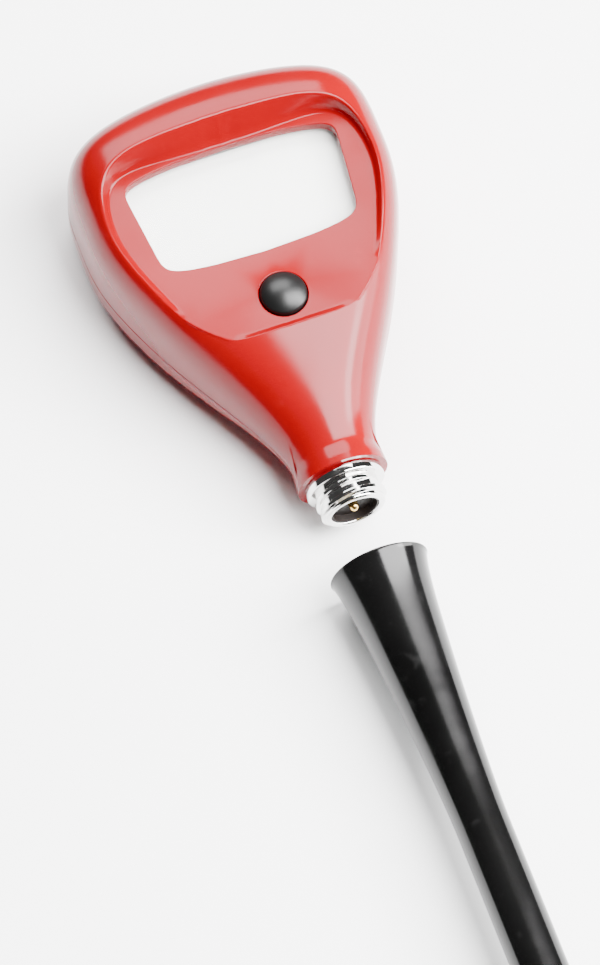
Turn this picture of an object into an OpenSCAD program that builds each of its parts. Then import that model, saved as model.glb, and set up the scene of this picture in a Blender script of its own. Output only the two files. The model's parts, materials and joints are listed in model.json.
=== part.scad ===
// Pocket pH meter with a screw-on electrode, lying on its back with the electrode unscrewed.
// The display faces +Z, the head points along +Y and the electrode along -Y.
// The origin is the middle of the footprint, on the surface the meter lies on.

/* [Case] */
// Width of the head
case_w = 50; // [46:1:54]
// Length of the case from the neck's end to the top of the head
case_l = 67.1; // [66:0.1:69]
// Thickness of the head, front to back
case_t = 25; // [24.5:0.5:27]
// Diameter of the neck
neck_d = 14; // [13.8:0.1:14.6]
// Wall thickness of both case halves
wall = 2; // [1.8:0.1:2.2]

/* [Display panel] */
// Height of the panel floor above the connector axis
floor_h = 12.6; // [12.4:0.1:12.8]
// Thickness of the panel floor
floor_t = 1.8; // [1.6:0.1:2]
// Half the mean width of the window
window_half_w = 16.7; // [15.5:0.1:16.8]
// Half the mean height of the window
window_half_h = 8.2; // [7:0.1:8.4]
// Diameter of the power button
button_d = 7.3; // [7:0.1:8]
// How far the power button travels
button_travel = 0.8; // [0.4:0.1:1]

/* [Connector] */
// Outer diameter of the connector's thread
thread_d = 11.1; // [11:0.1:11.2]
// Distance from one thread to the next
thread_pitch = 2; // [1.8:0.1:2.2]
// Length of the connector outside the neck
connector_l = 5.7; // [5.5:0.1:5.9]

/* [Electrode] */
// Distance along the axis from unscrewed to screwed home
travel = 15.7; // [12:0.1:30]
// Overall length of the electrode without its storage cap
electrode_l = 177.5; // [165:0.5:190]
// Length of the flared handle
handle_l = 102.5; // [98:0.5:106]
// Diameter of the handle's rim
rim_d = 15.8; // [15.6:0.1:16]
// Diameter of the probe tube
tube_d = 7; // [6.8:0.1:7.2]

/* [Hidden] */
$fn = 64;
gap = 0.2;
tiny = 0.01;
axis_h = 8;
neck_r = neck_d / 2;
front_max = case_t - axis_h;
back_max = 8.8;
head_start = 47.2;
neck_start = 3.2;
head_len = 50;
lip_r = 0.3;
sag = 4.5;
outline_n = 7;
head_n = 4.5;

cap_overhang = 4.5;
cap_r = axis_h;
cap_l = 28;
y_shift = (travel + electrode_l + cap_overhang - case_l) / 2;

panel_y = 40.6;
panel_half_l = 19;
panel_margin = 2.9;
window_y = 44.8;
window_bow = 1.45;
window_taper = 0.85;
button_y = 27.2;

floor_z = axis_h + floor_h;
sheet_top = floor_z - floor_t;
sheet_t = 1;
lcd_z = 15.4;
lcd_t = 2;
lcd_half_w = 17.8;
lcd_y = [34.6, 54.8];
board_z = 11;
board_t = 1.6;
board_y = [13, 60.2];

door_x = 15;
door_y = 37.4;
door_z = 0.2;
door_top = 2;
rail = 0.8;
cell_r = 5.8;
cell_t = 5.4;
cell_z = 2.6;
cell_x = 7.2;
cell_y = 46.4;

// each screw: x, y and the height of its boss in the front case
screw_spots = [[18.9, 58.8, 9.6], [-18.9, 58.8, 9.6], [8.8, 18.5, 7], [-8.8, 18.5, 7]];
screw_r = 1.1;
seat_z = 3.2;
pilot_top = 13.6;
trimmer_x = 6;
trimmer_y = 27.7;

barrel_r = 4.7;
bore_r = 3.85;
flange_r = 6.3;
flange_t = 1.6;
thread_depth = 0.6;
nut_y = 8.3;
pin_r = 0.75;
pin_l = 5.5;
nose_start = 4.4;

mouth_r = 6.65;
mouth_t = 2.6;
insert_r = 6.2;
insert_end = 6.4;
female_r = thread_d / 2 + 0.1;
stem_r = 4.2;
flare_l = 45;
rim_flare = 0.7;
tube_r = tube_d / 2;
tube_start = 88;
bulb_r = 2.9;
bulb_start = electrode_l - 5.2;

// ---- shape of the case ----

function clamp01(t) = min(1, max(0, t));
function smooth(t) = let(c = clamp01(t)) c * c * (3 - 2 * c);
function rise(v, p, q) = (1 - (1 - clamp01((v - neck_start) / head_len)) ^ p) ^ q;
function signed_pow(t, e) = sign(t) * abs(t) ^ e;
function lip(v) = lip_r * (1 - smooth((v - 1) / 2.5));

// Half-width, front height and back depth of the case at a station v along it
function half_w(v) = neck_r + lip(v) + (case_w / 2 - neck_r) * rise(v, 2.2, 1.65);
function front_h(v) = neck_r + lip(v) + (front_max - neck_r) * rise(v, 3, 1.5);
function back_h(v) = neck_r + lip(v) + (back_max - neck_r) * smooth((v - neck_start) / 30);
function section_n(v) = 2 + (head_n - 2) * smooth((v - neck_start) / 36);

// The head's stations bow towards +Y, so that its top is an arc
function bow(x, v) = v - sag * (2 * x / case_w) ^ 2 * smooth((v - 30) / 30);

// Stations from first to the closed end of the head, denser where the head rounds off
function stations(first, end, count) = concat(
    [for (i = [0:count]) first + (head_start - first) * i / count],
    [for (i = [1:count - 4]) end - (end - head_start) * (1 - i / (count - 3)) ^ 3]
);

// One half section: points from +X to -X, up for side 1 and down for side -1
function section(v, side, inset, end, limit, step) =
    let (
        n = section_n(v),
        w = half_w(v) - inset,
        h = (side > 0 ? front_h(v) : back_h(v)) - inset,
        e = max(0, v - head_start) / (end - head_start),
        k = (1 - e ^ outline_n) ^ (1 / outline_n)
    )
    [for (a = [0:step:180])
        let (
            x = a == 90 ? 0 : w * k * signed_pow(cos(a), 2 / n),
            r = ((abs(x) / w) ^ outline_n + e ^ outline_n) ^ (1 / outline_n),
            z = a == 0 || a == 180 ? 0 : h * max(0, 1 - r ^ n) ^ (1 / n)
        )
        [x, bow(x, v), side * min(z, limit)]];

// A closed solid of one half of the case shape, cut flat on the connector axis
module half_body(side, inset, first, limit) {
    end = case_l - inset;
    step = inset > 0 ? 15 : 7.5;
    rows = [for (v = stations(first, end, inset > 0 ? 10 : 15)) section(v, side, inset, end, limit, step)];
    count = len(rows[0]);
    last = len(rows) * count;
    points = concat([for (row = rows) each row], [[0, end, 0]]);
    skin = [for (i = [0:len(rows) - 2], j = [0:count - 2])
        let (a = i * count + j, b = a + 1, c = a + count, d = c + 1)
        each [[a, b, d], [a, d, c]]];
    tip = [for (j = [0:count - 2]) [last - count + j, last - count + j + 1, last]];
    neck = [[for (j = [count - 1:-1:0]) j]];
    base = [concat(
        [for (i = [0:len(rows) - 1]) i * count], [last],
        [for (i = [len(rows) - 1:-1:0]) i * count + count - 1])];
    faces = concat(skin, tip, neck, base);
    polyhedron(points, side > 0 ? faces : [for (f = faces) [for (i = [len(f) - 1:-1:0]) f[i]]]);
}

// ---- shape of the display panel ----

// Points round a rounded square, each axis from -1 to 1
function rounded_loop(n, count) = [for (i = [0:count - 1])
    let (a = 360 * i / count)
    [signed_pow(cos(a), 2 / n), signed_pow(sin(a), 2 / n)]];

// A loop that follows the case's sides at a margin, from station low to station high;
// the dip lowers the middle of its top
function panel_loop(margin, low, high, dip) = [for (p = rounded_loop(6, 48))
    let (
        v = (low + high) / 2 + (high - low) / 2 * p[1],
        x = (half_w(v) - margin - 0.8 * smooth((v - 44) / 14)) * p[0]
    )
    [x, bow(x, v) - dip * (1 - (x / 20) ^ 2) * smooth((v - 42) / 15)]];

function window_loop(extra) = [for (p = rounded_loop(10, 48))
    let (x = (window_half_w + extra + window_taper * p[1]) * p[0])
    [x, window_y + (window_half_h + extra) * p[1] + window_bow * p[1] * (1 - (x / window_half_w) ^ 2)]];

// The scoop cut into the front, with a sloping wall round its floor
module panel_scoop() {
    low = panel_y - panel_half_l;
    high = panel_y + panel_half_l;
    // each ring: share of the wall's width, height above the floor at the top, sides and bottom
    rings = [[1, 0, 0, 0], [0, 4, 2.2, 1.2], [-0.3, 9, 9, 9]];
    loops = [for (r = rings)
        let (loop = panel_loop(panel_margin + r[0], low + 0.9 * r[0], high - 0.6 * r[0], 1.5 + 2.7 * r[0]))
        [for (p = loop)
            let (t = (p[1] - low) / (high - low), up = smooth((t - 0.6) / 0.4), down = smooth((0.3 - t) / 0.3))
            [p[0], p[1], floor_h + r[1] * up + r[3] * down + r[2] * (1 - up) * (1 - down)]]];
    count = len(loops[0]);
    skin = [for (i = [0:len(loops) - 2], j = [0:count - 1])
        let (a = i * count + j, b = i * count + (j + 1) % count)
        each [[a, a + count, b + count], [a, b + count, b]]];
    polyhedron(
        [for (loop = loops) each loop],
        concat(skin, [[for (j = [0:count - 1]) j]], [[for (j = [count - 1:-1:0]) (len(loops) - 1) * count + j]])
    );
}

// ---- placing ----

// Children are drawn with +Z up and the neck's end at the origin
module meter() {
    translate([0, y_shift, 0]) children();
}

// Children are drawn along the connector axis: their +Z points out of the neck
module along_axis(s = 0) {
    translate([0, y_shift - s, axis_h]) rotate([90, 0, 0]) children();
}

module electrode() {
    along_axis(travel) children();
}

module ring(outer, inner, from, to) {
    translate([0, 0, from]) difference() {
        cylinder(r = outer, h = to - from);
        translate([0, 0, -tiny]) cylinder(r = inner, h = to - from + 2 * tiny);
    }
}

module block(x, y, z) {
    translate([x[0], y[0], z[0]]) cube([x[1] - x[0], y[1] - y[0], z[1] - z[0]]);
}

// A profile of [radius, height, share that fades to the base radius] points carried along a helix
module helical_sweep(profile, start, turns, pitch, phase = 0, base = 0, fade = 0) {
    steps = ceil(turns * 24);
    count = len(profile);
    points = [for (i = [0:steps])
        let (
            z = start + turns * pitch * i / steps,
            a = 360 * z / pitch + phase,
            f = fade == 0 ? 1 : min(1, (i + 1) / fade, (steps - i + 1) / fade)
        )
        each [for (p = profile)
            let (r = p[0] + (base - p[0]) * (1 - f) * p[2])
            [r * cos(a), r * sin(a), z + p[1]]]];
    skin = [for (i = [0:steps - 1], j = [0:count - 1])
        let (a = i * count + j, b = i * count + (j + 1) % count)
        each [[a, b, b + count], [a, b + count, a + count]]];
    polyhedron(points, concat(skin, [[for (j = [count - 1:-1:0]) j]], [[for (j = [0:count - 1]) steps * count + j]]));
}

// A round lead that keeps to one plane of constant x: points are [y, z]
module lead(x, route, r) {
    sides = 8;
    last = len(route) - 1;
    points = [for (i = [0:last])
        let (d = route[min(last, i + 1)] - route[max(0, i - 1)], t = d / norm(d))
        each [for (k = [0:sides - 1])
            let (a = 360 * (k + 0.5) / sides)
            [x + r * cos(a), route[i][0] - r * sin(a) * t[1], route[i][1] + r * sin(a) * t[0]]]];
    skin = [for (i = [0:last - 1], k = [0:sides - 1])
        let (a = i * sides + k, b = i * sides + (k + 1) % sides)
        each [[a, b, b + sides], [a, b + sides, a + sides]]];
    polyhedron(points, concat(skin, [[for (k = [sides - 1:-1:0]) k]], [[for (k = [0:sides - 1]) last * sides + k]]));
}

// ---- case ----

module neck_bores() {
    along_neck = [[barrel_r + 0.05, -1, 14], [5.9, -1, 1], [6.05, nut_y, 12.5]];
    for (b = along_neck) {
        translate([0, b[1], 0]) rotate([-90, 0, 0]) cylinder(r = b[0], h = b[2] - b[1]);
    }
}

// The moulded shell of one half, brought to the head's exact width
module moulded(side, boss_r) {
    translate([0, 0, axis_h]) resize([case_w, 0, 0]) difference() {
        half_body(side, 0, 0, side > 0 ? front_max : axis_h);
        difference() {
            half_body(side, wall, 9.5, side > 0 ? floor_h - floor_t : axis_h - wall);
            for (p = screw_spots) {
                translate([p[0], p[1], side > 0 ? -1 : -axis_h])
                    cylinder(r = boss_r, h = side > 0 ? p[2] + 1 : axis_h + 1, $fn = 24);
            }
        }
        if (side > 0) {
            panel_scoop();
            translate([0, 0, floor_h - floor_t - 1]) linear_extrude(floor_t + 2) polygon(window_loop(0));
        }
    }
}

module front_case() {
    color("crimson") meter() difference() {
        moulded(1, 2.6);
        translate([0, 0, axis_h]) neck_bores();
        translate([0, button_y, sheet_top - 1]) cylinder(d = button_d + 0.3, h = 8);
        for (p = screw_spots) {
            translate([p[0], p[1], axis_h - 1]) cylinder(r = screw_r, h = pilot_top - axis_h + 1);
        }
    }
}

module back_case() {
    color("crimson") meter() difference() {
        moulded(-1, 3);
        translate([0, 0, axis_h]) neck_bores();
        for (p = screw_spots) {
            translate([p[0], p[1], -1]) cylinder(r = 2.3, h = seat_z + 1);
            translate([p[0], p[1], 0]) cylinder(r = screw_r + 0.15, h = axis_h + 1);
        }
        for (x = [-trimmer_x, trimmer_x]) {
            translate([x, trimmer_y, -1]) cylinder(r = 1.7, h = 5);
        }
        door_slot();
    }
}

// The opening behind the battery door, with a groove for the door's rails
module door_slot() {
    block([-door_x - gap, door_x + gap], [door_y - gap, case_l + 5], [-1, door_top + 0.1]);
    block([-door_x - rail - gap, door_x + rail + gap], [door_y - gap, case_l + 5], [0.7, 1.6]);
}

module battery_door() {
    color("crimson") meter() difference() {
        intersection() {
            translate([0, 0, axis_h]) half_body(-1, 0, 0, axis_h);
            union() {
                block([-door_x, door_x], [door_y, case_l + 5], [door_z, door_top]);
                block([-door_x - rail, door_x + rail], [door_y, case_l - 6.5], [0.85, 1.45]);
            }
        }
        for (y = [40.4:1.6:47.4]) {
            block([-6, 6], [y, y + 0.8], [-1, 0.7]);
        }
    }
}

module case_screws() {
    color("silver") meter() for (p = screw_spots) {
        translate([p[0], p[1], 0]) difference() {
            union() {
                translate([0, 0, seat_z - 1.4]) cylinder(r = 2, h = 1.4);
                translate([0, 0, seat_z - tiny]) cylinder(r = screw_r, h = 10);
            }
            for (a = [0, 90]) {
                rotate(a) translate([-1.2, -0.25, 0]) cube([2.4, 0.5, seat_z - 0.6]);
            }
        }
    }
}

// ---- display ----

module tapered_plate(top_half, bottom_half, low, high, z, t) {
    translate([0, 0, z]) linear_extrude(t)
        polygon([[-bottom_half, low], [bottom_half, low], [top_half, high], [-top_half, high]]);
}

module display_window() {
    color("white", 0.5) meter() tapered_plate(18.3, 17, 33.4, 56, sheet_top - sheet_t, sheet_t);
}

module lcd_panel() {
    color("gainsboro") meter() difference() {
        block([-lcd_half_w, lcd_half_w], lcd_y, [lcd_z, lcd_z + lcd_t]);
        for (y = [lcd_y[0] - 1, lcd_y[1] - 2.3]) {
            block([-20, 20], [y, y + 3.3], [lcd_z - 1, lcd_z + lcd_t / 2]);
        }
    }
}

module lcd_reflector() {
    color("lightgrey") meter() block([-16, 16], [37.3, 52.1], [lcd_z - 0.3, lcd_z]);
}

module lcd_frame() {
    color("dimgrey") meter() difference() {
        block([-18.5, 18.5], [lcd_y[0] - 1, lcd_y[1] + 1], [board_z + board_t, lcd_z + lcd_t - 0.1]);
        block([-lcd_half_w, lcd_half_w], lcd_y, [board_z, 20]);
    }
}

module contact_strips() {
    color("hotpink") meter() for (y = [lcd_y[0] + 0.5, lcd_y[1] - 2.1]) {
        block([-16.5, 16.5], [y, y + 1.6], [board_z + board_t, lcd_z + lcd_t / 2]);
    }
}

// ---- electronics ----

module circuit_board() {
    steps = 18;
    side = [for (i = [0:steps])
        let (y = board_y[0] + (board_y[1] - board_y[0]) * i / steps)
        [half_w(y) - wall - 0.9 - 2.2 * smooth((y - 50) / 9), y]];
    color("darkgreen") meter() difference() {
        translate([0, 0, board_z]) linear_extrude(board_t)
            polygon(concat(side, [for (i = [steps:-1:0]) [-side[i][0], side[i][1]]]));
        for (p = screw_spots) {
            translate([p[0], p[1], board_z - 1]) cylinder(r = 3.2, h = board_t + 2);
        }
    }
}

module board_chips() {
    top = board_z + board_t;
    color([0.12, 0.12, 0.13]) meter() {
        block([-5, 5], [41, 48], [top, top + 1.7]);
        block([-13, -8], [42, 46], [top, top + 1.5]);
    }
}

module board_passives() {
    top = board_z + board_t;
    color("tan") meter() {
        for (x = [8, 10.5, 13], y = [39.5, 43, 46.5]) {
            block([x, x + 1.2], [y, y + 2], [top, top + 0.9]);
        }
        for (x = [-8, 7]) {
            block([x, x + 1.2], [23.5, 25.5], [top, top + 0.9]);
        }
    }
}

module trimmer_bodies() {
    color("royalblue") meter() for (x = [-trimmer_x, trimmer_x]) {
        difference() {
            block([x - 3.2, x + 3.2], [trimmer_y - 3.2, trimmer_y + 3.2], [6.2, board_z]);
            translate([x, trimmer_y, 5]) cylinder(r = 1.35, h = 4);
        }
    }
}

// One trimmer's adjusting screw, slotted towards the back of the case
module trimmer_screw(x) {
    meter() translate([x, trimmer_y, 0]) difference() {
        translate([0, 0, 4.6]) cylinder(r = 1.3, h = 4.3);
        translate([-2, -0.3, 4]) cube([4, 0.6, 1.4]);
    }
}

module offset_trimmer() {
    color("ivory") trimmer_screw(-trimmer_x);
}

module slope_trimmer() {
    color("ivory") trimmer_screw(trimmer_x);
}

module switch_housing() {
    color([0.15, 0.15, 0.16]) meter() translate([0, button_y, board_z + board_t]) difference() {
        translate([-3, -3, 0]) cube([6, 6, 3.4]);
        translate([0, 0, 1]) cylinder(r = 1.6, h = 4);
    }
}

module switch_plunger() {
    color("dimgrey") meter() translate([0, button_y, 14.7]) cylinder(r = 1.55, h = 3.1);
}

// A domed cap on a flange that the case floor holds down
module power_button() {
    r = button_d / 2;
    dome_r = 5.4;
    dome_z = floor_z + 1.9 - dome_r;
    color([0.08, 0.08, 0.09]) meter() translate([0, button_y, 0]) union() {
        intersection() {
            translate([0, 0, 17.8]) cylinder(r = r, h = 8);
            translate([0, 0, dome_z]) sphere(r = dome_r, $fn = 96);
        }
        translate([0, 0, 17.8]) cylinder(r = 4.6, h = sheet_top - 17.8 - 0.05);
    }
}

// ---- battery ----

module battery_cells() {
    color("silver") meter() for (x = [-cell_x, cell_x]) {
        translate([x, cell_y, cell_z]) cylinder(r = cell_r, h = cell_t - 0.5);
        translate([x, cell_y, cell_z + cell_t - 0.5]) cylinder(r = cell_r - 1, h = 0.5);
    }
}

module battery_holder() {
    color([0.2, 0.2, 0.22]) meter() difference() {
        union() {
            block([-14.6, 14.6], [39.2, 53.6], [2.3, 8]);
            block([-14.6, 14.6], [39.2, 40.2], [2.3, board_z]);
            block([-14.6, 14.6], [52.6, 53.6], [2.3, board_z]);
        }
        for (x = [-cell_x, cell_x]) {
            translate([x, cell_y, 0]) cylinder(r = cell_r + 0.15, h = 10);
        }
        block([-cell_x, cell_x], [cell_y - 2.2, cell_y + 2.2], [2, cell_z]);
    }
}

module battery_link() {
    color("silver") meter()
        block([-cell_x, cell_x], [cell_y - 2, cell_y + 2], [cell_z - 0.25, cell_z]);
}

module battery_springs() {
    wire = 0.3;
    profile = [for (a = [30:60:330]) [2.6 + wire * cos(a), wire * sin(a), 0]];
    low = cell_z + cell_t + wire;
    high = board_z - wire;
    color("gold") meter() for (x = [-cell_x, cell_x]) {
        translate([x, cell_y, 0]) helical_sweep(profile, low, 2.5, (high - low) / 2.5);
    }
}

// ---- connector ----

// The ridge of the coupling's thread; a male and a female ridge lie half a pitch apart
module thread_ridge(inner, outer, embed, from, to, phase) {
    root = 0.5 * thread_pitch / 2;
    crest = 0.25 * thread_pitch / 2;
    male = outer > inner;
    profile = male
        ? [[inner - embed, -root, 0], [outer, -crest, 1], [outer, crest, 1], [inner - embed, root, 0]]
        : [[inner + embed, root, 0], [outer, crest, 1], [outer, -crest, 1], [inner + embed, -root, 0]];
    helical_sweep(profile, from, (to - from) / thread_pitch, thread_pitch, phase, inner, 8);
}

module connector_barrel() {
    root_r = thread_d / 2 - thread_depth;
    color("silver") along_axis() difference() {
        union() {
            translate([0, 0, -11.5]) cylinder(r = barrel_r, h = 12);
            cylinder(r = flange_r, h = flange_t);
            cylinder(r = root_r, h = connector_l);
            thread_ridge(root_r, thread_d / 2, 0.15, flange_t + 0.9, connector_l - 0.7, 0);
        }
        translate([0, 0, -12]) cylinder(r = bore_r, h = 20);
    }
}

module connector_nut() {
    color("silver") along_axis() difference() {
        ring(5.85, barrel_r, -nut_y - 2.5, -nut_y);
        for (a = [0, 90, 180, 270]) {
            rotate(a) translate([4.9, -0.6, -nut_y - 3]) cube([2, 1.2, 4]);
        }
    }
}

module ground_lug() {
    color("gold") along_axis() {
        ring(5.85, barrel_r, -nut_y - 2.9, -nut_y - 2.5);
    }
}

module connector_o_ring() {
    color([0.1, 0.1, 0.1]) along_axis() rotate_extrude() translate([5.3, -0.5]) circle(r = 0.45, $fn = 24);
}

module connector_insulator() {
    color([0.13, 0.1, 0.09]) along_axis() difference() {
        ring(bore_r, pin_r, -10.8, 5.4);
        translate([0, 0, 4.1]) cylinder(r = 3.6, h = 2);
    }
}

module connector_pin() {
    color("gold") along_axis() union() {
        translate([0, 0, -12.3]) cylinder(r = pin_r, h = 12.3 + pin_l - 0.5);
        translate([0, 0, pin_l - 0.5]) cylinder(r1 = pin_r, r2 = 0.35, h = 0.5);
    }
}

module signal_lead() {
    color("red") meter() lead(0, [[12.3, 8], [13.5, 8], [15, 8.2], [16.4, 9], [17.2, 9.9], [17.4, 10.6], [17.4, 11]], 0.5);
}

module ground_lead() {
    color("black") meter() lead(5.2, [[11.2, 9.4], [12.2, 9.4], [13.3, 9.5], [14.2, 9.8], [14.8, 10.2], [15, 10.7], [15, 11]], 0.45);
}

// ---- electrode ----

// The trumpet shape: radius of the handle at a distance s from its rim
function handle_r(s) =
    stem_r + (rim_d / 2 - rim_flare - stem_r) * clamp01(1 - s / flare_l) ^ 1.4 + rim_flare * exp(-s / 3);

module electrode_handle() {
    profile = concat(
        [[mouth_r, 0.25], [mouth_r + 0.25, 0], [rim_d / 2 - 0.25, 0], [rim_d / 2, 0.25]],
        [for (s = [1, 2, 3.5, 5, 7, 10, 13, 17, 21, 25, 29, 33, 37, 41, 45, 60, 80, handle_l - 1.2])
            [handle_r(s), s]],
        [[stem_r - 0.4, handle_l], [tube_r, handle_l], [tube_r, tube_start], [2.8, tube_start]],
        [[2.8, 8], [insert_r, 8], [insert_r, mouth_t], [mouth_r, mouth_t]]
    );
    color([0.07, 0.07, 0.08]) electrode() rotate_extrude($fn = 72) polygon(profile);
}

module electrode_gasket() {
    color([0.16, 0.16, 0.17]) electrode() ring(mouth_r - 0.05, thread_d / 2 + 0.2, mouth_t - 0.85, mouth_t);
}

module coupling_insert() {
    color("silver") electrode() union() {
        ring(insert_r, female_r, mouth_t, insert_end);
        thread_ridge(female_r, female_r - thread_depth + 0.05, 0.3, mouth_t + 0.8, insert_end - 0.8,
            360 * travel / thread_pitch + 180);
    }
}

module socket_insulator() {
    color("ivory") electrode() difference() {
        union() {
            translate([0, 0, nose_start]) cylinder(r = 3.3, h = 8 - nose_start);
            translate([0, 0, insert_end]) cylinder(r = insert_r, h = 8 - insert_end);
        }
        cylinder(r = 1.5, h = 10);
    }
}

module contact_socket() {
    color("gold") electrode() difference() {
        translate([0, 0, nose_start + 0.1]) cylinder(r = 1.5, h = 11 - nose_start - 0.1);
        cylinder(r = pin_r + 0.1, h = 8.5);
    }
}

module electrode_lead() {
    lead_r = 1.1;
    bends = [0, 0, 0.5, 1, 0.7, -0.2, -0.9, -0.9, -0.2, 0.5, 0.4, 0, 0];
    from = 11;
    to = tube_start + 2;
    route = [for (i = [0:12]) [-travel - from - (to - from) * i / 12, axis_h + bends[i]]];
    color("dimgrey") meter() lead(0, route, lead_r);
}

module seal_plug() {
    color([0.25, 0.25, 0.27]) electrode() ring(tube_r - 0.7, 1.6, tube_start + 2, tube_start + 7);
}

module probe_tube() {
    tip = electrode_l - 6;
    color([0.1, 0.1, 0.11]) electrode() difference() {
        rotate_extrude() polygon([
            [tube_r - 0.7, tube_start], [tube_r, tube_start], [tube_r, tip - 0.5], [tube_r - 0.5, tip],
            [1.6, tip], [1.6, tip - 2], [tube_r - 0.7, tip - 2]
        ]);
        translate([0, 5, tip - 8]) rotate([90, 0, 0]) cylinder(r = 0.5, h = 5);
    }
}

module cloth_junction() {
    color("white") electrode() translate([0, tube_r - 0.1, electrode_l - 14]) rotate([90, 0, 0])
        cylinder(r = 0.5, h = 1.1);
}

module glass_stem() {
    color("lightblue") electrode() ring(1.6, 1.1, tube_start + 2, bulb_start);
}

// A hollow glass bulb at the tip of the stem
module glass_bulb() {
    centre = electrode_l - bulb_r;
    color("lightblue") electrode() difference() {
        translate([0, 0, centre]) sphere(r = bulb_r);
        translate([0, 0, centre]) sphere(r = bulb_r - 0.4);
        translate([0, 0, bulb_start - 2]) cylinder(r = 5, h = 2);
    }
}

module sensing_wire() {
    color("silver") electrode() translate([0, 0, tube_start + 2]) cylinder(r = 0.3, h = electrode_l - tube_start - 6);
}

module reference_wire() {
    color("silver") electrode() translate([0, 2.35, tube_start + 7]) cylinder(r = 0.3, h = 50);
}

module storage_cap() {
    end = electrode_l + cap_overhang;
    start = end - cap_l;
    color("white", 0.8) electrode() rotate_extrude() polygon([
        [tube_r + 0.05, start], [cap_r - 1.2, start], [cap_r - 1.2, start + 2], [cap_r - 0.6, start + 2.6],
        [cap_r - 0.6, end - 3.5], [cap_r, end - 3], [cap_r, end - 0.8], [cap_r - 0.8, end], [0, end],
        [0, end - 1.5], [4.9, end - 1.5], [4.9, start + 10], [tube_r + 0.05, start + 10]
    ]);
}

module cap_sponge() {
    end = electrode_l + cap_overhang - 1.5;
    color("khaki") electrode() translate([0, 0, end - 2.5]) cylinder(r = 4.6, h = 2.5);
}

front_case();
back_case();
display_window();
lcd_panel();
lcd_reflector();
lcd_frame();
contact_strips();
circuit_board();
board_chips();
board_passives();
trimmer_bodies();
switch_housing();
battery_cells();
battery_holder();
battery_springs();
battery_link();
case_screws();
connector_barrel();
connector_nut();
connector_o_ring();
connector_insulator();
connector_pin();
ground_lug();
signal_lead();
ground_lead();
power_button();
switch_plunger();
battery_door();
offset_trimmer();
slope_trimmer();
electrode_gasket();
electrode_handle();
coupling_insert();
socket_insulator();
contact_socket();
electrode_lead();
seal_plug();
probe_tube();
glass_stem();
glass_bulb();
sensing_wire();
reference_wire();
cloth_junction();
storage_cap();
cap_sponge();
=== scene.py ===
import json
import math

import bmesh
import bpy
import numpy as np
from mathutils import Matrix, Vector

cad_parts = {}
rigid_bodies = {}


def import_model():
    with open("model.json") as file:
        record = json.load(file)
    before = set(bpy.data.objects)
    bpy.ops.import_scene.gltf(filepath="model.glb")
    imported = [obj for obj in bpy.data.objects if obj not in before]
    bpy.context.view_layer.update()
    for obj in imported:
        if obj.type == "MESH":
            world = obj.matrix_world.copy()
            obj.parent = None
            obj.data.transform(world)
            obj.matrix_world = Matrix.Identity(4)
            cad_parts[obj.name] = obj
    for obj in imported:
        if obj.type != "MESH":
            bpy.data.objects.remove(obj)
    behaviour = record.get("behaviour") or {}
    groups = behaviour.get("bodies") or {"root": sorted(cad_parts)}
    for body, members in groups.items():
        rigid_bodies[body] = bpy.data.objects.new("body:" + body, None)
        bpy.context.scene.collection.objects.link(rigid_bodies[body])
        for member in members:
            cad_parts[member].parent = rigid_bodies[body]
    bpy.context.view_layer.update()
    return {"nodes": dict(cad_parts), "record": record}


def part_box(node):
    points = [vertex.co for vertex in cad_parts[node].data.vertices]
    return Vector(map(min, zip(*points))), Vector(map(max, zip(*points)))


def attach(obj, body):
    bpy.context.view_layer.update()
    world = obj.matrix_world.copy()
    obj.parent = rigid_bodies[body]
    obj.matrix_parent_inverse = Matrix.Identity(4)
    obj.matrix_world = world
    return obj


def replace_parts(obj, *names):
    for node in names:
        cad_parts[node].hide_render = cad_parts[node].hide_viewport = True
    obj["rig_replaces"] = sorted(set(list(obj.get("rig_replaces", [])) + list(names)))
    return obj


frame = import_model()
NODES = frame["nodes"]
MM = 0.001

# ---- where the frame's parts are, in millimetres ----

case_low, case_high = (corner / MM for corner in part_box("front_case"))
AXIS = case_low.z
NECK_Y = case_low.y
CASE_L = case_high.y - case_low.y
CASE_W = case_high.x - case_low.x
RIM_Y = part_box("electrode_handle")[1].y / MM
HANDLE_L = RIM_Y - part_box("electrode_handle")[0].y / MM
SHEET_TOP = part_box("display_window")[1].z / MM
FLOOR_Z = SHEET_TOP + 1.8
BUTTON_Y = (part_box("power_button")[0].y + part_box("power_button")[1].y) / 2 / MM - NECK_Y
BUTTON_R = 3.65
BUTTON_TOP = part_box("power_button")[1].z / MM
BUTTON_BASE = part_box("power_button")[0].z / MM
CAP_END = RIM_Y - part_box("storage_cap")[0].y / MM
CAP_START = RIM_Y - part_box("storage_cap")[1].y / MM

# ---- shape of the case: the same curves as the frame's, sampled more finely ----

NECK_R = 7.0
NECK_START = 3.2
HEAD_LEN = 50.0
HEAD_START = 47.2
SAG = 4.5
OUTLINE_N = 7.0
FRONT_MAX = case_high.z - case_low.z
BACK_MAX = 8.8
WALL = 2.0
BORE_R = 4.75
WINDOW_Y = 44.8
WINDOW_HALF_W = 16.7
WINDOW_HALF_H = 8.2
WINDOW_BOW = 1.45
WINDOW_TAPER = 0.85
PANEL_LOW = 21.6
PANEL_HIGH = 59.6
PANEL_MARGIN = 2.9
SCREW_SPOTS = ((18.9, 58.8), (-18.9, 58.8), (8.8, 18.5), (-8.8, 18.5))
TRIMMER_SPOTS = ((-6, 27.7), (6, 27.7))
# the cap's thirty ribs
RIB_COUNT = 30
RIB_DEPTH = 0.22


def smooth(t):
    c = np.clip(t, 0, 1)
    return c * c * (3 - 2 * c)


def rise(v, p, q):
    return (1 - (1 - np.clip((v - NECK_START) / HEAD_LEN, 0, 1)) ** p) ** q


def lip(v):
    return 0.3 * (1 - smooth((v - 1) / 2.5))


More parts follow.
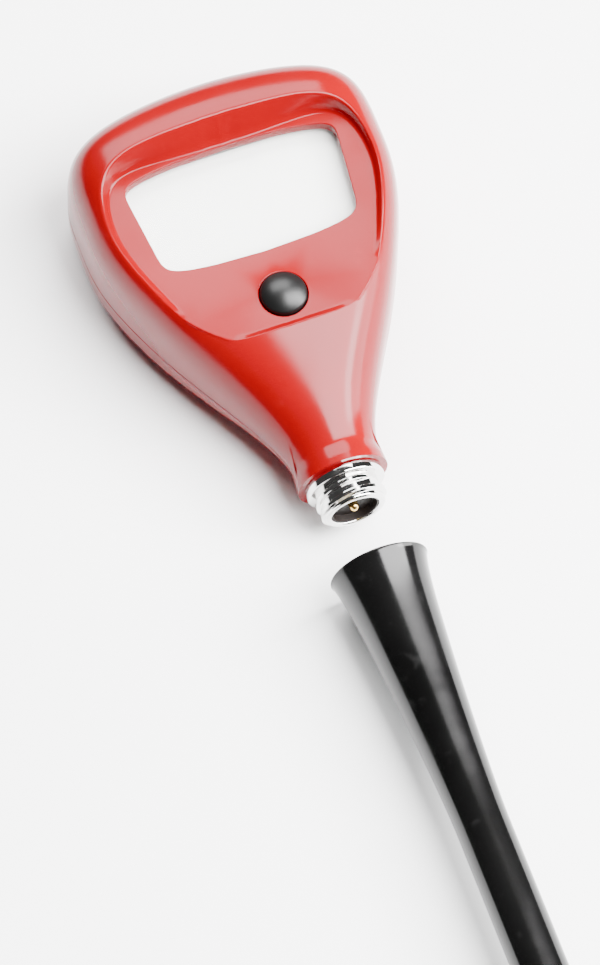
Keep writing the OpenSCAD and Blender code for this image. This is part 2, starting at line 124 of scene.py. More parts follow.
def half_w(v):
    return NECK_R + lip(v) + (CASE_W / 2 - NECK_R) * rise(v, 2.2, 1.65)


def front_h(v):
    return NECK_R + lip(v) + (FRONT_MAX - NECK_R) * rise(v, 3, 1.5)


def back_h(v):
    return NECK_R + lip(v) + (BACK_MAX - NECK_R) * smooth((v - NECK_START) / 30)


def section_n(v):
    return 2 + 2.5 * smooth((v - NECK_START) / 36)


def bow(x, v):
    return v - SAG * (2 * x / CASE_W) ** 2 * smooth((v - 30) / 30)


def station(x, y):
    """The station whose bowed section passes through a point seen from above."""
    v = np.array(y, float)
    for _ in range(25):
        v = y + SAG * (2 * x / CASE_W) ** 2 * smooth((v - 30) / 30)
    return v


def widths(v, inset):
    """Half-width and end of the case, or of its cavity where inset is the wall."""
    if inset == 0:
        return half_w(v), CASE_L
    wide = np.maximum(BORE_R, half_w(v) - inset)
    return BORE_R + (wide - BORE_R) * smooth((v - 8) / 3), CASE_L - inset


def height(x, y, side, inset=0):
    """Height above the connector axis of the case's front, or depth of its back."""
    v = station(x, y)
    w, end = widths(v, inset)
    h = (front_h(v) if side > 0 else back_h(v)) - inset
    if inset:
        h = BORE_R + (h - BORE_R) * smooth((v - 8) / 3)
        n = 2 + (section_n(v) - 2) * smooth((v - 8) / 3)
    else:
        n = section_n(v)
    e = np.clip((v - HEAD_START) / (end - HEAD_START), 0, 1)
    r = ((np.abs(x) / w) ** OUTLINE_N + e**OUTLINE_N) ** (1 / OUTLINE_N)
    return h * np.maximum(0, 1 - r**n) ** (1 / n)


def outline(inset):
    """The parting line seen from above, from the neck's right corner round the head to its left one."""
    end = widths(np.array(0.0), inset)[1]
    low = np.linspace(0, HEAD_START, 500)[:-1]
    high = HEAD_START + (end - HEAD_START) * (1 - (1 - np.linspace(0, 1, 500)) ** 3)
    v = np.concatenate([low, high])
    e = np.clip((v - HEAD_START) / (end - HEAD_START), 0, 1)
    x = widths(v, inset)[0] * np.maximum(0, 1 - e**OUTLINE_N) ** (1 / OUTLINE_N)
    right = np.stack([x, bow(x, v)], 1)
    return np.concatenate([right, (right * [-1, 1])[::-1][1:]])


def rounded_loop(n, count):
    a = np.linspace(0, 2 * np.pi, count, endpoint=False)
    c, s = np.cos(a), np.sin(a)
    return np.sign(c) * np.abs(c) ** (2 / n), np.sign(s) * np.abs(s) ** (2 / n)


def panel_loop(margin, low, high, dip, count=1600):
    c, s = rounded_loop(6, count)
    v = (low + high) / 2 + (high - low) / 2 * s
    x = (half_w(v) - margin - 0.8 * smooth((v - 44) / 14)) * c
    return np.stack([x, bow(x, v) - dip * (1 - (x / 20) ** 2) * smooth((v - 42) / 15)], 1)


def window_loop(extra, count=240):
    c, s = rounded_loop(10, count)
    x = (WINDOW_HALF_W + extra + WINDOW_TAPER * s) * c
    bulge = WINDOW_BOW * s * (1 - (x / WINDOW_HALF_W) ** 2)
    return np.stack([x, WINDOW_Y + (WINDOW_HALF_H + extra) * s + bulge], 1)


# ---- meshes ----

HUB = np.array([0.0, 36.0])


class Shape:
    """Points in millimetres and faces, gathered ring by ring."""

    def __init__(self):
        self.points = []
        self.faces = []
        self.fills = []

    def ring(self, points):
        start = len(self.points)
        self.points.extend(tuple(p) for p in points)
        return list(range(start, len(self.points)))

    def bridge(self, a, b, closed=True):
        count = len(a)
        for j in range(count if closed else count - 1):
            k = (j + 1) % count
            self.faces.append((a[j], a[k], b[k], b[j]))

    def rings(self, rows, closed=True):
        rows = [self.ring(row) for row in rows]
        for a, b in zip(rows, rows[1:]):
            self.bridge(a, b, closed)
        return rows

    def fill(self, *loops):
        """A flat face bounded by the first loop, with the others as its holes."""
        self.fills.append(loops)

    def build(self, name, sharp=32):
        mesh = bpy.data.meshes.new(name)
        bm = bmesh.new()
        verts = [bm.verts.new((x * MM, y * MM, z * MM)) for x, y, z in self.points]
        for f in self.faces:
            corners = [verts[i] for i in dict.fromkeys(f)]
            if len(corners) > 2:
                bm.faces.new(corners)
        for loops in self.fills:
            edges = []
            for loop in loops:
                for i, j in zip(loop, loop[1:] + loop[:1]):
                    edges.append(bm.edges.get((verts[i], verts[j])) or bm.edges.new((verts[i], verts[j])))
            bmesh.ops.triangle_fill(bm, use_beauty=True, edges=edges, normal=(0, 0, 1))
        bmesh.ops.remove_doubles(bm, verts=bm.verts, dist=1e-7)
        bmesh.ops.recalc_face_normals(bm, faces=bm.faces)
        bm.to_mesh(mesh)
        bm.free()
        obj = bpy.data.objects.new(name, mesh)
        bpy.context.scene.collection.objects.link(obj)
        return soften(obj, sharp)


def soften(obj, sharp=32):
    for polygon in obj.data.polygons:
        polygon.use_smooth = True
    obj.data.set_sharp_from_angle(angle=math.radians(sharp))
    return obj


def cut(obj, tool, operation="DIFFERENCE", sharp=32):
    """Applies a boolean with a tool that is then removed."""
    modifier = obj.modifiers.new("cut", "BOOLEAN")
    modifier.operation = operation
    modifier.solver = "EXACT"
    modifier.object = tool
    bpy.context.view_layer.update()
    evaluated = obj.evaluated_get(bpy.context.evaluated_depsgraph_get())
    mesh = bpy.data.meshes.new_from_object(evaluated)
    obj.modifiers.clear()
    obj.data = mesh
    bpy.data.objects.remove(tool)
    return soften(obj, sharp)


def rounded(profile, radius, closed=False, steps=4):
    """The profile with each corner turned into a short arc."""
    count = len(profile)
    result = []
    for i, corner in enumerate(profile):
        if not closed and i in (0, count - 1):
            result.append(corner)
            continue
        here = Vector(corner)
        before = Vector(profile[i - 1])
        after = Vector(profile[(i + 1) % count])
        reach = min(radius, 0.4 * (before - here).length, 0.4 * (after - here).length)
        start = here + (before - here).normalized() * reach
        stop = here + (after - here).normalized() * reach
        for k in range(steps + 1):
            t = k / steps
            result.append(tuple(start * (1 - t) ** 2 + here * 2 * t * (1 - t) + stop * t * t))
    return result


def out_of_neck(origin_y):
    """Places lathe points: the lathe's axis runs from origin_y towards -Y."""
    return lambda r, a, h: (r * np.cos(a), origin_y - h + 0 * a, AXIS + r * np.sin(a))


def upright(x, y):
    return lambda r, a, h: (x + r * np.cos(a), NECK_Y + y + r * np.sin(a), h + 0 * a)


def across(y, z):
    """Places lathe points: the lathe's axis runs along X."""
    return lambda r, a, h: (h + 0 * a, y + r * np.cos(a), z + r * np.sin(a))


def lathe(name, profile, place, segments=128, closed=False, sharp=32):
    shape = Shape()
    a = np.linspace(0, 2 * np.pi, segments, endpoint=False)
    rows = shape.rings([np.stack(place(max(r, 1e-4), a, h), 1) for r, h in profile])
    if closed:
        shape.bridge(rows[-1], rows[0])
    return shape.build(name, sharp)


def extrude(name, outline_xz, y_from, y_to):
    """A tool block: an outline in x and z, drawn along Y."""
    shape = Shape()
    rows = [[(x, y, z) for x, z in outline_xz] for y in (y_from, y_to)]
    rows = shape.rings(rows)
    shape.faces += [tuple(rows[0]), tuple(reversed(rows[1]))]
    return shape.build(name)


# ---- materials ----


class Paint:
    """A procedural surface: colour, roughness and relief that vary over the part."""

    def __init__(self, name, colour, rough, metallic=0.0):
        self.material = bpy.data.materials.new(name)
        self.material.use_nodes = True
        self.tree = self.material.node_tree
        self.shader = self.tree.nodes["Principled BSDF"]
        self.shader.inputs["Metallic"].default_value = metallic
        self.coords = self.tree.nodes.new("ShaderNodeTexCoord").outputs["Object"]
        self.colour = None
        self.base = colour
        self.rough = rough
        self.rough_socket = None
        self.bump = None

    def set(self, **values):
        for key, value in values.items():
            self.shader.inputs[key.replace("_", " ")].default_value = value
        return self

    def link(self, a, b):
        self.tree.links.new(a, b)

    def noise(self, scale, detail=3.0, stretch=None, rough=0.5):
        coords = self.coords
        if stretch:
            mapping = self.tree.nodes.new("ShaderNodeMapping")
            mapping.inputs["Scale"].default_value = stretch
            self.link(coords, mapping.inputs["Vector"])
            coords = mapping.outputs["Vector"]
        node = self.tree.nodes.new("ShaderNodeTexNoise")
        node.inputs["Scale"].default_value = scale
        node.inputs["Detail"].default_value = detail
        node.inputs["Roughness"].default_value = rough
        self.link(coords, node.inputs["Vector"])
        return node.outputs["Fac"]

    def span(self, value, low, high, to_low, to_high):
        node = self.tree.nodes.new("ShaderNodeMapRange")
        for key, number in (("From Min", low), ("From Max", high), ("To Min", to_low), ("To Max", to_high)):
            node.inputs[key].default_value = number
        self.link(value, node.inputs["Value"])
        return node.outputs["Result"]

    def tint(self, mask, colour):
        """Mixes a colour in where the mask is high."""
        mix = self.tree.nodes.new("ShaderNodeMix")
        mix.data_type = "RGBA"
        self.link(mask, mix.inputs["Factor"])
        if self.colour is None:
            mix.inputs["A"].default_value = (*self.base, 1)
        else:
            self.link(self.colour, mix.inputs["A"])
        mix.inputs["B"].default_value = (*colour, 1)
        self.colour = mix.outputs["Result"]
        self.link(self.colour, self.shader.inputs["Base Color"])
        return self

    def vary_rough(self, mask, high):
        """Moves the roughness towards high where the mask is high."""
        mix = self.tree.nodes.new("ShaderNodeMix")
        self.link(mask, mix.inputs["Factor"])
        if self.rough_socket is None:
            mix.inputs["A"].default_value = self.rough
        else:
            self.link(self.rough_socket, mix.inputs["A"])
        mix.inputs["B"].default_value = high
        self.rough_socket = mix.outputs["Result"]
        self.link(self.rough_socket, self.shader.inputs["Roughness"])
        return self

    def relief(self, value, depth_mm, strength=1.0):
        node = self.tree.nodes.new("ShaderNodeBump")
        node.inputs["Distance"].default_value = depth_mm * MM
        node.inputs["Strength"].default_value = strength
        self.link(value, node.inputs["Height"])
        if self.bump is not None:
            self.link(self.bump, node.inputs["Normal"])
        self.bump = node.outputs["Normal"]
        self.link(self.bump, self.shader.inputs["Normal"])
        return self

    def worn(self, spread, wear=0.35, grain=900, depth=0.004):
        """Mottling, handling marks, fine scratches and grain, scaled to the part."""
        shade = tuple(max(0, c * (1 - spread)) for c in self.base)
        light = tuple(min(1, c * (1 + spread) + 0.02 * spread) for c in self.base)
        self.tint(self.span(self.noise(55, 3), 0.35, 0.7, 0, 1), shade)
        self.tint(self.span(self.noise(420, 4), 0.62, 0.8, 0, 0.5), light)
        self.vary_rough(self.span(self.noise(95, 5), 0.45, 0.75, 0, 1), min(1, self.rough * 1.5 + 0.02))
        scratches = self.noise(260, 2, stretch=(1, 14, 3), rough=0.3)
        self.vary_rough(self.span(scratches, 0.66, 0.72, 0, wear), min(1, self.rough + 0.35))
        self.relief(self.noise(grain, 4), depth)
        return self


def red_plastic():
    p = Paint("red_gloss", (0.17, 0.0, 0.0018), 0.15)
    p.worn(0.10, 0.06, grain=650, depth=0.003)
    p.relief(p.noise(130, 1), 0.006)
    return p.set(Specular_IOR_Level=0.19).material


def black_gloss(name, rough):
    p = Paint(name, (0.003, 0.003, 0.003), rough)
    p.worn(0.5, 0.04, grain=800, depth=0.002)
    return p.set(Specular_IOR_Level=0.32).material


def chrome():
    p = Paint("chrome_plate", (0.74, 0.73, 0.72), 0.07, 1.0)
    p.worn(0.10, 0.15, grain=1200, depth=0.0005)
    turning = p.noise(30, 1, stretch=(1, 120, 1))
    return p.relief(turning, 0.0004).material


def gilt():
    return Paint("gilt", (0.83, 0.55, 0.18), 0.22, 1.0).worn(0.12, 0.5, 1500, 0.004).material


def steel():
    p = Paint("bright_steel", (0.62, 0.62, 0.62), 0.28, 1.0).worn(0.12, 0.6, 1500, 0.004)
    return p.relief(p.noise(400, 2, stretch=(1, 12, 1)), 0.003).material


def plain(name, colour, rough, spread=0.12, depth=0.01, **values):
    return Paint(name, colour, rough).worn(spread, 0.3, 1100, depth).set(**values).material


def board_green():
    p = Paint("board", (0.02, 0.16, 0.05), 0.35).worn(0.2, 0.3, 1400, 0.004)
    tracks = p.noise(160, 0, stretch=(1, 5, 1))
    return p.tint(p.span(tracks, 0.56, 0.58, 0, 0.5), (0.05, 0.28, 0.08)).material


def clear(name, colour, rough, transmission, alpha=1.0):
    p = Paint(name, colour, rough).worn(0.03, 0.3, 900, 0.002)
    return p.set(Transmission_Weight=transmission, Alpha=alpha, IOR=1.45).material


RED = red_plastic()
BLACK_GLOSS = black_gloss("black_gloss", 0.13)
BLACK_BUTTON = black_gloss("black_button", 0.36)
CHROME = chrome()
GILT = gilt()
STEEL = steel()
INNER = plain("inner_plastic", (0.035, 0.035, 0.038), 0.5)
BLACK = plain("black_part", (0.018, 0.018, 0.02), 0.42)
RUBBER = plain("black_rubber", (0.012, 0.012, 0.012), 0.62, depth=0.02)
INSULATOR = plain("dark_insulator", (0.008, 0.005, 0.004), 0.5, Specular_IOR_Level=0.2)
CREAM = plain("cream_part", (0.62, 0.56, 0.42), 0.45)
GLASS = clear("probe_glass", (0.92, 0.97, 0.98), 0.03, 0.9)
CAP = clear("cap_plastic", (0.80, 0.83, 0.84), 0.30, 0.45)
LCD = plain("lcd_glass", (0.86, 0.87, 0.84), 0.22, spread=0.02, depth=0.002, Coat_Weight=0.5)
FINISHES = {
    "front_case": RED, "back_case": RED, "battery_door": RED,
    "display_window": clear("clear_window", (0.98, 0.99, 0.98), 0.04, 0.0, 0.10), "lcd_panel": LCD,
    "lcd_reflector": plain("reflector", (0.70, 0.71, 0.70), 0.4), "lcd_frame": INNER,
    "contact_strips": plain("silicone_strip", (0.55, 0.25, 0.28), 0.6), "circuit_board": board_green(),
    "board_chips": BLACK, "board_passives": plain("ceramic_part", (0.35, 0.24, 0.13), 0.5),
    "trimmer_bodies": plain("blue_part", (0.02, 0.06, 0.34), 0.4), "switch_housing": BLACK,
    "battery_cells": STEEL, "battery_holder": INNER, "battery_springs": GILT, "battery_link": STEEL,
    "case_screws": STEEL, "connector_barrel": CHROME, "connector_nut": CHROME, "connector_o_ring": RUBBER,
    "connector_insulator": INSULATOR, "connector_pin": GILT, "ground_lug": GILT,
    "signal_lead": plain("red_lead", (0.40, 0.01, 0.01), 0.4),
    "ground_lead": plain("black_lead", (0.02, 0.02, 0.02), 0.4),
    "power_button": BLACK_BUTTON, "switch_plunger": BLACK, "offset_trimmer": CREAM, "slope_trimmer": CREAM,
    "electrode_gasket": RUBBER, "electrode_handle": BLACK_GLOSS, "coupling_insert": CHROME,
    "socket_insulator": CREAM, "contact_socket": GILT, "electrode_lead": RUBBER, "seal_plug": BLACK,
    "probe_tube": plain("probe_body", (0.02, 0.02, 0.022), 0.25, Coat_Weight=0.3), "glass_stem": GLASS,
    "glass_bulb": GLASS, "sensing_wire": STEEL, "reference_wire": STEEL,
    "cloth_junction": plain("cloth", (0.7, 0.7, 0.66), 0.9, depth=0.05), "storage_cap": CAP,
    "cap_sponge": plain("sponge", (0.62, 0.50, 0.20), 0.9, depth=0.2),
}
BODY_OF = {n: body for body, members in frame["record"]["behaviour"]["bodies"].items() for n in members}


def stands_for(obj, node):
    """The finer mesh takes the node's finish, its body and its place in view."""
    obj.data.materials.clear()
    obj.data.materials.append(FINISHES[node])
    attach(obj, BODY_OF[node])
    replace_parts(obj, node)
    return obj


# ---- the case ----


def hub_angles():
    """Directions from the hub: closely spaced across the neck's end and down the neck."""
    spread = np.radians(np.linspace(-90, 90, 65))
    end = np.arctan2(-HUB[1], 7.3 * np.sin(spread))
    corner = end[-1]
    neck = np.linspace(corner, math.radians(-40), 70)[1:]
    head = np.linspace(math.radians(-40), math.radians(90), 220)[1:]
    right = np.concatenate([neck, head])
    left = (math.pi - right)[::-1][1:]
    return np.concatenate([end, right, left]), len(end)


def reach(loop, angles):
    """Distance from the hub to a loop in each direction."""
    d = loop - HUB
    a = np.arctan2(d[:, 1], d[:, 0])
    r = np.hypot(d[:, 0], d[:, 1])
    order = np.argsort(a)
    turned = (angles + np.pi) % (2 * np.pi) - np.pi
    return np.interp(turned, a[order], r[order], period=2 * np.pi)


ANGLES, END_COUNT = hub_angles()
RAYS = np.stack([np.cos(ANGLES), np.sin(ANGLES)], 1)


def shell_rim(inset):
    """Distance from the hub to the parting line, or straight across the neck's end."""
    r = reach(outline(inset), ANGLES)
    r[:END_COUNT] = HUB[1] / -RAYS[:END_COUNT, 1]
    if inset:
        edge = np.abs(RAYS[:, 0] * r) > BORE_R
        low = (RAYS[:, 1] < 0) & edge & (HUB[1] + RAYS[:, 1] * r < 0.5)
        r[low] = BORE_R / np.abs(RAYS[low, 0])
    return r


def at(r):
    return HUB + RAYS * np.asarray(r).reshape(-1, 1)


def on_surface(r, side, inset=0):
    p = at(r)
    z = height(p[:, 0], p[:, 1], side, inset)
    limit = (SHEET_TOP - AXIS if side > 0 else AXIS - WALL) if inset else (99 if side > 0 else AXIS)
    return np.stack([p[:, 0], NECK_Y + p[:, 1], AXIS + side * np.minimum(z, limit)], 1)


def shell_rows(side, start, count):
    """Rows of points from a starting distance to the parting line, then round its edge and inside."""
    stop = shell_rim(0)
    steps = 1 - (1 - np.linspace(0, 1, count)) ** 2.6
    rows = [on_surface(start + (stop - start) * s, side) for s in steps[:-1]]
    edge = on_surface(stop, side)
    edge[END_COUNT:, 2] = AXIS
    seam = 0.16
    inward = edge.copy()
    middle = np.array([0, NECK_Y + HUB[1]])
    away = edge[:, :2] - middle
    away /= np.linalg.norm(away, axis=1).reshape(-1, 1)
    sides = np.ones(len(edge), bool)
    sides[:END_COUNT] = False
    rows.append(edge.copy())
    rows[-1][sides, 2] += side * seam
    inward[sides, :2] -= seam * away[sides]
    rows.append(inward)
    inner_stop = shell_rim(WALL)
    inner = on_surface(inner_stop, side, WALL)
    inner[END_COUNT:, 2] = AXIS
    turn = np.linspace(-np.pi / 2, np.pi / 2, END_COUNT)
    inner[:END_COUNT] = np.stack(
        [BORE_R * np.sin(turn), NECK_Y + 0 * turn, AXIS + side * BORE_R * np.cos(turn)], 1)
    rows.append(inner)
    inner_start = np.minimum(start * 0.9, inner_stop * 0.9)
    for s in (1 - np.linspace(0, 1, 14) ** 1.8)[1:]:
        rows.append(on_surface(inner_start + (inner_stop - inner_start) * s, side, WALL))
    return rows


def loop3(points, z):
    return [(x, NECK_Y + y, z) for x, y in points]


def opening(shape, loop_of, z_top, z_low):
    """A hole with a rounded edge. Returns its upper and lower loops."""
    steps = [(0.2, 0), (0.12, 0.01), (0.06, 0.05), (0.02, 0.13), (0, 0.22)]
    loops = [loop3(loop_of(extra), z_top - drop) for extra, drop in steps]
    rows = shape.rings(loops + [loop3(loop_of(0), z_low)])
    return rows[0], rows[-1]


def circle(x, y, radius):
    a = np.linspace(0, 2 * np.pi, 96, endpoint=False)
    return lambda extra: np.stack([x + (radius + extra) * np.cos(a), y + (radius + extra) * np.sin(a)], 1)


def make_front():
    floor = reach(panel_loop(PANEL_MARGIN + 1, PANEL_LOW + 0.9, PANEL_HIGH - 0.6, 4.2), ANGLES)
    rim = reach(panel_loop(PANEL_MARGIN, PANEL_LOW, PANEL_HIGH, 1.5), ANGLES)
    # where the case itself falls below the floor, the wall has no height and ends there
    probe = np.linspace(6, 40, 400)
    heights = np.array([height(*at(np.full(len(ANGLES), r)).T, 1) for r in probe])
    below = heights < FLOOR_Z - AXIS
    first = np.where(below.any(0), probe[below.argmax(0)], 99)
    floor = np.minimum(floor, first - 0.35)
    rim = np.maximum(floor + 0.25, np.minimum(rim, first + 0.1))
    top = np.maximum(FLOOR_Z, on_surface(rim, 1)[:, 2])
    roll = np.minimum(0.55, 0.15 + 0.3 * (top - FLOOR_Z))
    # the wall rises straight from a small fillet at its foot
    share = np.clip((rim - floor - 0.4 * roll) / (rim - floor), 0.3, 1)
    wall = np.maximum(0, top - FLOOR_Z) * share
    rows = []
    for t in np.linspace(0, 1, 7):
        p = at(floor - 0.3 * (1 - t) ** 2 + 0.25 * (rim - floor) * t * t)
        rows.append(np.stack([p[:, 0], NECK_Y + p[:, 1], FLOOR_Z + 0.25 * wall * t * t], 1))
    for t in (0.4, 0.6, 0.8, 1):
        p = at(floor + share * (rim - floor) * t)
        rows.append(np.stack([p[:, 0], NECK_Y + p[:, 1], FLOOR_Z + wall * t], 1))
    foot = rows[-1]
    shoulder = on_surface(rim + roll, 1)
    corner = on_surface(rim, 1)
    corner[:, 2] = np.maximum(corner[:, 2], foot[:, 2])
    for t in np.linspace(0, 1, 9)[1:-1]:
        rows.append(foot * (1 - t) ** 2 + corner * 2 * t * (1 - t) + shoulder * t * t)
    shape = Shape()
    rings = shape.rings(rows + shell_rows(1, rim + roll, 60))
    window = opening(shape, window_loop, FLOOR_Z, SHEET_TOP)
    button = opening(shape, circle(0, BUTTON_Y, BUTTON_R + 0.15), FLOOR_Z, SHEET_TOP)
    shape.fill(rings[0], window[0], button[0])
    shape.fill(rings[-1], window[1], button[1])
    return stands_for(shape.build("front_shell", 40), "front_case")


def back_solid(name, hollow):
    shape = Shape()
    start = np.minimum(reach(panel_loop(4.5, 19, 62, 0), ANGLES), 26)
    rows = shell_rows(-1, start, 46)
    if not hollow:
        rows = rows[:46]
    rings = shape.rings(rows)
    shape.fill(rings[0])
    shape.fill(rings[-1])
    return shape.build(name, 40)


def slot_tool(grow):
    g = grow
    return [
        (-15.2 - g, -1), (15.2 + g, -1), (15.2 + g, 0), (15.2, 0.25), (15.2, 0.7), (16, 0.7), (16, 1.6),
        (15.2, 1.6), (15.2, 2.1), (-15.2, 2.1), (-15.2, 1.6), (-16, 1.6), (-16, 0.7), (-15.2, 0.7),
        (-15.2, 0.25), (-15.2 - g, 0)]


def make_back():
    shell = back_solid("back_shell", True)
    slot_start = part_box("battery_door")[0].y / MM - 0.2
    cut(shell, extrude("slot", slot_tool(0.22), slot_start, NECK_Y + 75), sharp=40)
    for x, y in SCREW_SPOTS:
        profile = [(0, -2), (2.75, -2), (2.75, 0), (2.45, 0.12), (2.3, 0.45), (2.3, 3.2), (0, 3.2)]
        cut(shell, lathe("bore", profile, upright(x, y), 64), sharp=40)
    for x, y in TRIMMER_SPOTS:
        profile = [(0, -2), (2.05, -2), (2.05, 0), (1.8, 0.1), (1.7, 0.35), (1.7, 5), (0, 5)]
        cut(shell, lathe("hole", profile, upright(x, y), 48), sharp=40)
    return stands_for(shell, "back_case")


def make_door():
    low, high = (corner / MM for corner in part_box("battery_door"))
    door = back_solid("door_shell", False)
    c = 0.22
    edge = [
        (-15 + c, 0.2), (15 - c, 0.2), (15, 0.2 + c), (15, 0.85), (15.8, 0.85), (15.8, 1.45), (15, 1.45),
        (15, 2), (-15, 2), (-15, 1.45), (-15.8, 1.45), (-15.8, 0.85), (-15, 0.85), (-15, 0.2 + c)]
    cut(door, extrude("door_edge", edge, low.y, NECK_Y + 75), "INTERSECT", 30)
    for i in range(5):
        y = low.y + 3.4 + 1.6 * i
        profile = [(0, -5.8), (0.38, -5.6), (0.5, -5.2), (0.5, 5.2), (0.38, 5.6), (0, 5.8)]
        cut(door, lathe("grip", profile, across(y, 0.2), 32), sharp=30)
    return stands_for(door, "battery_door")


# ---- turned parts ----


def handle_r(s):
    return 4.2 + 3.0 * np.clip(1 - s / 45, 0, 1) ** 1.4 + 0.7 * np.exp(-s / 3)


def make_handle():
    outer = [(float(handle_r(s)), float(s)) for s in np.concatenate([
        np.linspace(0.55, 12, 34), np.linspace(12.5, 46, 50), np.linspace(50, HANDLE_L - 1.3, 16)])]
    quarter = np.linspace(0, math.pi / 2, 6)
    lip_arc = [(6.9 - 0.25 * math.cos(t), 0.27 - 0.25 * math.sin(t)) for t in quarter]
    edge = [(7.65 + 0.25 * math.sin(t), 0.27 - 0.25 * math.cos(t)) for t in quarter]
    end = HANDLE_L
    tail = rounded([(4.2, end - 1.3), (4.1, end - 0.4), (3.8, end), (3.5, end), (3.5, end - 2)], 0.25)
    inside = [(3.5, 88), (2.8, 88), (2.8, 8), (6.2, 8), (6.2, 2.6), (6.65, 2.6)]
    profile = lip_arc + edge + outer + tail + inside
    return stands_for(lathe("handle_shell", profile, out_of_neck(RIM_Y), 192, True), "electrode_handle")


def thread_height(z, a):
    """Share of the thread's full height at a distance from the flange and an angle round it."""
    pitch, first, last = 2.0, 2.5, 5.0
    phase = (z / pitch - a / (2 * np.pi) + 0.5) % 1 - 0.5
    ridge = smooth((0.5 * 0.58 - np.abs(phase)) / 0.15)
    turn = (z - phase * pitch)
    return ridge * smooth((turn - first + 0.35) / 0.5) * smooth((last + 0.35 - turn) / 0.5)


def make_barrel():
    shape = Shape()
    a = np.linspace(0, 2 * np.pi, 224, endpoint=False)
    place = out_of_neck(NECK_Y)
    root = 4.95
    rows = []
    body = rounded([(3.85, -11.5), (4.7, -11.5), (4.7, 0), (6.3, 0), (6.3, 1.6), (root, 1.6)], 0.3, steps=6)
    for r, h in body[:-1]:
        rows.append(np.stack(place(r, a, h), 1))
    for z in np.arange(1.62, 5.34, 0.035):
        rows.append(np.stack(place(root + 0.6 * thread_height(z, a), a, z), 1))
    nose = [(root, 5.35), (root - 0.05, 5.5), (root - 0.3, 5.7), (4.05, 5.7), (3.85, 5.5), (3.85, -11.5)]
    for r, h in rounded(nose, 0.12):
        rows.append(np.stack(place(r, a, h), 1))
    rings = shape.rings(rows)
    shape.bridge(rings[-1], rings[0])
    return stands_for(shape.build("barrel_shell", 50), "connector_barrel")


def turned(name, node, corners, place, radius=0.15, closed=False, segments=96):
    profile = rounded(corners, radius, closed)
    return stands_for(lathe(name, profile, place, segments, closed), node)


def make_contact():
    """The connector's insulating lining, and the pin down its middle."""
    neck = out_of_neck(NECK_Y)
    lining = [
        (3.85, -10.8), (3.85, 5.4), (3.6, 5.4), (3.6, 4.2), (1.5, 4.2), (1.3, 4.1), (0.75, 4.1), (0.75, -10.8)]
    turned("insulator_ring", "connector_insulator", lining, neck, 0.12, True)
    pin = [(0, -12.3), (0.75, -12.3), (0.75, 5), (0.35, 5.5), (0, 5.5)]
    turned("pin_round", "connector_pin", pin, neck, 0.25)


def make_button():
    dome_r = 5.4
    dome_z = BUTTON_TOP - dome_r
    widest = math.asin((BUTTON_R - 0.3) / dome_r)
    dome = [(dome_r * math.sin(t), dome_z + dome_r * math.cos(t)) for t in np.linspace(0, widest, 24)]
    side = [(BUTTON_R - r, dome[-1][1] - drop) for r, drop in ((0.12, 0.14), (0.03, 0.34), (0, 0.6))]
    foot = [(BUTTON_R, BUTTON_BASE + 1), (4.6, BUTTON_BASE + 0.95), (4.6, BUTTON_BASE), (0, BUTTON_BASE)]
    stands_for(lathe("button_dome", dome + side + foot, upright(0, BUTTON_Y), 128), "power_button")


def make_gasket():
    section = [(5.75, 1.77), (6.6, 1.77), (6.6, 2.57), (5.75, 2.57)]
    turned("gasket_ring", "electrode_gasket", section, out_of_neck(RIM_Y), 0.2, True)


def make_cap():
    """The storage cap, with ribs down the middle stretch of its side."""
    c0, c1 = CAP_START, CAP_END
    side_r = 7.4
    outside = [
        (3.55, c0), (6.8, c0), (6.8, c0 + 2), (side_r, c0 + 2.6), (side_r, c1 - 3.5), (8, c1 - 3),
        (8, c1 - 0.8), (7.2, c1), (0, c1)]
    inside = [(0, c1 - 1.5), (4.9, c1 - 1.5), (4.9, c0 + 10), (3.55, c0 + 10)]
    corners = rounded(outside + inside, 0.3, True)
    profile = []
    for one, two in zip(corners, corners[1:]):
        profile.append(one)
        if one[0] > side_r - 0.1 and abs(one[1] - two[1]) > 6:
            profile += [(side_r, one[1] + t * (two[1] - one[1])) for t in (0.04, 0.08, 0.5, 0.92, 0.96)]
    profile.append(corners[-1])
    shape = Shape()
    a = np.linspace(0, 2 * np.pi, 240, endpoint=False)
    place = out_of_neck(RIM_Y)
    rows = []
    for r, h in profile:
        ribbed = smooth((h - c0 - 3.4) / 0.6) * smooth((c1 - 4.2 - h) / 0.6) * (r > side_r - 0.1)
        groove = RIB_DEPTH * ribbed * (0.5 + 0.5 * np.cos(RIB_COUNT * a))
        rows.append(np.stack(place(np.maximum(r, 1e-4) - groove, a, h), 1))
    rings = shape.rings(rows)
    shape.bridge(rings[-1], rings[0])
    stands_for(shape.build("cap_shell", 35), "storage_cap")


def make_tube():
    start = RIM_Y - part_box("probe_tube")[1].y / MM
    tip = RIM_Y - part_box("probe_tube")[0].y / MM
    section = [
        (2.8, start), (3.5, start), (3.5, tip - 0.5), (3.0, tip), (1.6, tip), (1.6, tip - 2), (2.8, tip - 2)]
    turned("tube_shell", "probe_tube", section, out_of_neck(RIM_Y), 0.25, True)


make_front()
make_back()
make_door()
make_handle()
make_barrel()
make_contact()
make_button()
make_gasket()
make_cap()
make_tube()

replaced = {n for o in bpy.data.objects for n in o.get("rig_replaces", [])}
for node, finish in FINISHES.items():
    if node not in replaced:
        NODES[node].data.materials.clear()
        NODES[node].data.materials.append(finish)

# ---- studio ----


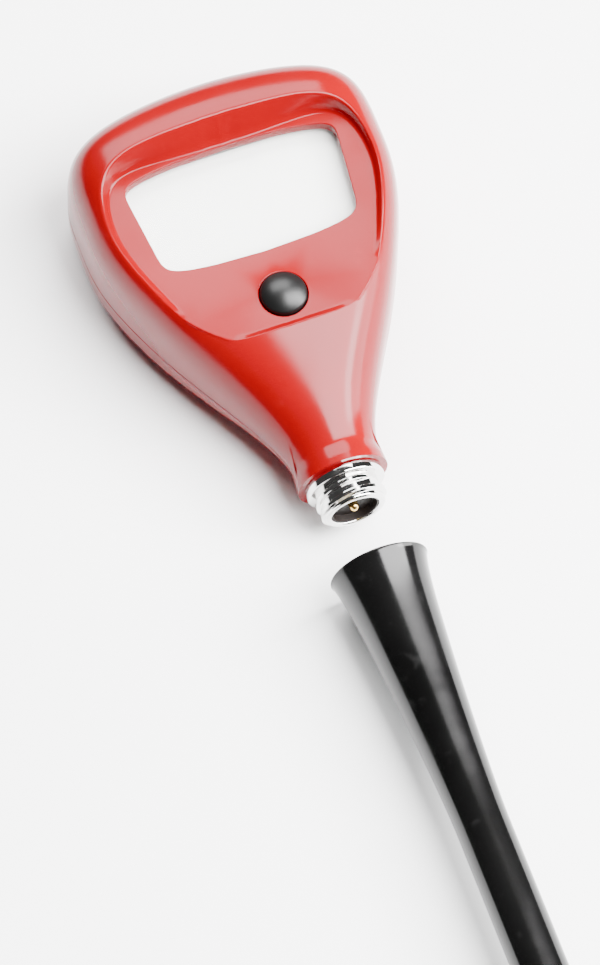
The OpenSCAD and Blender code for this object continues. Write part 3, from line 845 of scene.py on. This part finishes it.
def studio_floor():
    mesh = bpy.data.meshes.new("studio_floor")
    side = 3.0
    corners = [(-side, -side, 0), (side, -side, 0), (side, side, 0), (-side, side, 0)]
    mesh.from_pydata(corners, [], [(0, 1, 2, 3)])
    floor = bpy.data.objects.new("studio_floor", mesh)
    bpy.context.scene.collection.objects.link(floor)
    p = Paint("studio_paper", (0.93, 0.93, 0.93), 0.6)
    p.vary_rough(p.span(p.noise(40, 3), 0.3, 0.7, 0, 1), 0.7)
    p.set(Base_Color=(0.93, 0.93, 0.93, 1))
    mesh.materials.append(p.material)
    floor.location.z = -0.00005


def softbox(name, centre, target, size, power, colour=(1, 1, 1)):
    light = bpy.data.lights.new(name, "AREA")
    light.shape = "RECTANGLE"
    light.size, light.size_y = size
    light.energy = power
    light.color = colour
    obj = bpy.data.objects.new(name, light)
    bpy.context.scene.collection.objects.link(obj)
    obj.location = centre
    obj.rotation_euler = (Vector(centre) - Vector(target)).to_track_quat("Z", "Y").to_euler()


def camera():
    """A long lens that looks down on the meter from beside its neck."""
    azimuth, elevation, roll = (math.radians(a) for a in (-21.759, 65.164, 1.881))
    distance = 1200.0
    level = math.cos(elevation)
    back = Vector((math.sin(azimuth) * level, -math.cos(azimuth) * level, math.sin(elevation)))
    right = Vector((math.cos(azimuth), math.sin(azimuth), 0))
    up = back.cross(right)
    right, up = right * math.cos(roll) + up * math.sin(roll), up * math.cos(roll) - right * math.sin(roll)
    target = Vector((0, NECK_Y + 30, 0))
    place = (target + back * distance + right * 3.7694 - up * 22.7274) * MM
    data = bpy.data.cameras.new("camera")
    data.sensor_width = 36
    data.lens = 286.7316
    data.clip_start = 0.05
    data.clip_end = 20
    obj = bpy.data.objects.new("camera", data)
    axes = Matrix((right, up, back)).transposed().to_4x4()
    obj.matrix_world = Matrix.Translation(place) @ axes
    bpy.context.scene.collection.objects.link(obj)
    bpy.context.scene.camera = obj


studio_floor()
softbox("softbox_head", (0.06, 0.62, 0.62), (0.0, 0.1, 0.0), (0.75, 0.5), 18)
softbox("softbox_right", (0.40, -0.10, 0.60), (0.0, -0.10, 0.0), (0.55, 0.80), 50)
softbox("softbox_low", (0.73, -0.20, 0.29), (0.0, -0.20, 0.05), (0.30, 0.56), 12)
world = bpy.data.worlds.new("studio")
world.use_nodes = True
world.node_tree.nodes["Background"].inputs["Color"].default_value = (1, 1, 1, 1)
world.node_tree.nodes["Background"].inputs["Strength"].default_value = 0.06
bpy.context.scene.world = world
camera()
